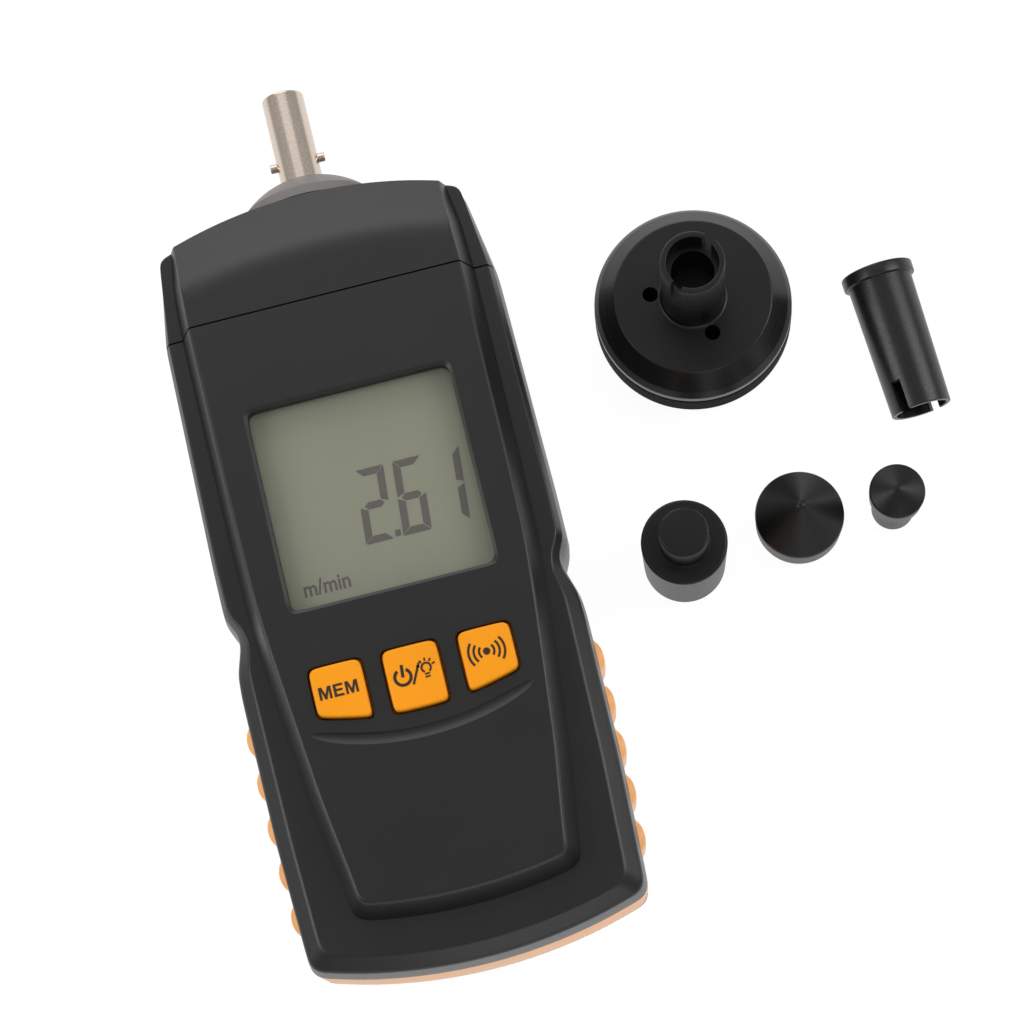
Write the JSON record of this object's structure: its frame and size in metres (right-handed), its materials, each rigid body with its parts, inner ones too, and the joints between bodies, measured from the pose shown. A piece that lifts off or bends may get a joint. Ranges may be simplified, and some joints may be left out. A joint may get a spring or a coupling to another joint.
{
  "type": "contact tachometer",
  "caption": "Handheld contact tachometer with a driven spindle, a segment display and rubber keys, with a surface speed wheel, an extension tube and rubber contact tips standing beside it.",
  "frame": {"origin": "centre of the flat rear face on which the meter lies", "axes": "+Y towards the spindle's tip, +Z out of the display, +X across the meter towards the adapters that stand beside it"},
  "size_m": [0.1203, 0.1436, 0.0334],
  "materials": {
    "shell_black": "fine matt spark texture",
    "grip_orange": "matt soft rubber",
    "key_orange": "matt soft rubber with printed marks",
    "mat_grey": "matt silicone",
    "window_clear": "clear, polished",
    "lcd": "grey-green segment display behind a satin polariser",
    "inner_black": "moulded, matt",
    "diffuser_white": "milky",
    "elastomer_pink": "layered elastomer strip",
    "board_green": "solder mask",
    "pins_gold": "plated",
    "screws_zinc": "zinc plated",
    "contacts_nickel": "nickel plated spring steel",
    "cell_wrap": "plain shrink sleeve with a bare steel end",
    "collar_grey": "bead blasted and anodised grey",
    "bearing_steel": "ground",
    "spindle_nickel": "satin nickel, turned",
    "disc_dark": "etched film disc on a hub",
    "adapter_black": "black anodised, satin",
    "tyre_black": "matt rubber",
    "tip_black": "matt moulded rubber"
  },
  "bodies": {
    "housing": {"front_shell": "shell_black", "nose_cap": "shell_black", "back_shell": "shell_black", "grip_band": "grip_orange", "display_window": "window_clear", "lcd_frame": "inner_black", "lcd_glass": "lcd", "lcd_backlight": "diffuser_white", "lcd_connector": "elastomer_pink", "circuit_board": "board_green", "board_parts": "inner_black", "board_screws": "screws_zinc", "keypad_mat": "mat_grey", "spindle_housing": "collar_grey", "front_bearing": "bearing_steel", "rear_bearing": "bearing_steel", "sensor_board": "board_green", "photo_interrupter": "inner_black", "sensor_pins": "pins_gold", "sensor_screws": "screws_zinc", "cell_left": "cell_wrap", "cell_middle": "cell_wrap", "cell_right": "cell_wrap", "battery_contacts": "contacts_nickel", "case_screws": "screws_zinc"},
    "rotor": {"spindle": "spindle_nickel", "drive_pin": "spindle_nickel", "encoder_disc": "disc_dark", "retaining_clip": "spindle_nickel"},
    "memory_key": {"memory_key": "key_orange"},
    "power_key": {"power_key": "key_orange"},
    "signal_key": {"signal_key": "key_orange"},
    "battery_door": {"battery_door": "shell_black"},
    "surface_wheel": {"wheel_disc": "adapter_black", "wheel_tyre": "tyre_black"},
    "extension_tube": {"extension_tube": "adapter_black"},
    "funnel_tip": {"funnel_tip": "tip_black"},
    "large_cone_tip": {"large_cone_tip": "tip_black"},
    "small_cone_tip": {"small_cone_tip": "tip_black"}
  },
  "joints": [
    {"name": "spindle_spin", "type": "hinge", "parent": "housing", "child": "rotor", "pos_m": [0, 0.05, 0.0165], "axis": [0, 1, 0], "continuous": true},
    {"name": "memory_key_press", "type": "slide", "parent": "housing", "child": "memory_key", "axis": [0, 0, -1], "range_m": [0, 0.0008], "stiffness_N_per_m": 1500},
    {"name": "power_key_press", "type": "slide", "parent": "housing", "child": "power_key", "axis": [0, 0, -1], "range_m": [0, 0.0008], "stiffness_N_per_m": 1500},
    {"name": "signal_key_press", "type": "slide", "parent": "housing", "child": "signal_key", "axis": [0, 0, -1], "range_m": [0, 0.0008], "stiffness_N_per_m": 1500},
    {"name": "battery_door_slide", "type": "slide", "parent": "housing", "child": "battery_door", "axis": [0, -1, 0], "range_m": [0, 0.055]},
    {"name": "wheel_lift", "type": "slide", "parent": "housing", "child": "surface_wheel", "axis": [0, 0, 1], "range_m": [0, 0.06]},
    {"name": "tube_lift", "type": "slide", "parent": "housing", "child": "extension_tube", "axis": [0, 0, 1], "range_m": [0, 0.06]},
    {"name": "funnel_lift", "type": "slide", "parent": "housing", "child": "funnel_tip", "axis": [0, 0, 1], "range_m": [0, 0.06]},
    {"name": "large_cone_lift", "type": "slide", "parent": "housing", "child": "large_cone_tip", "axis": [0, 0, 1], "range_m": [0, 0.06]},
    {"name": "small_cone_lift", "type": "slide", "parent": "housing", "child": "small_cone_tip", "axis": [0, 0, 1], "range_m": [0, 0.06]}
  ]
}
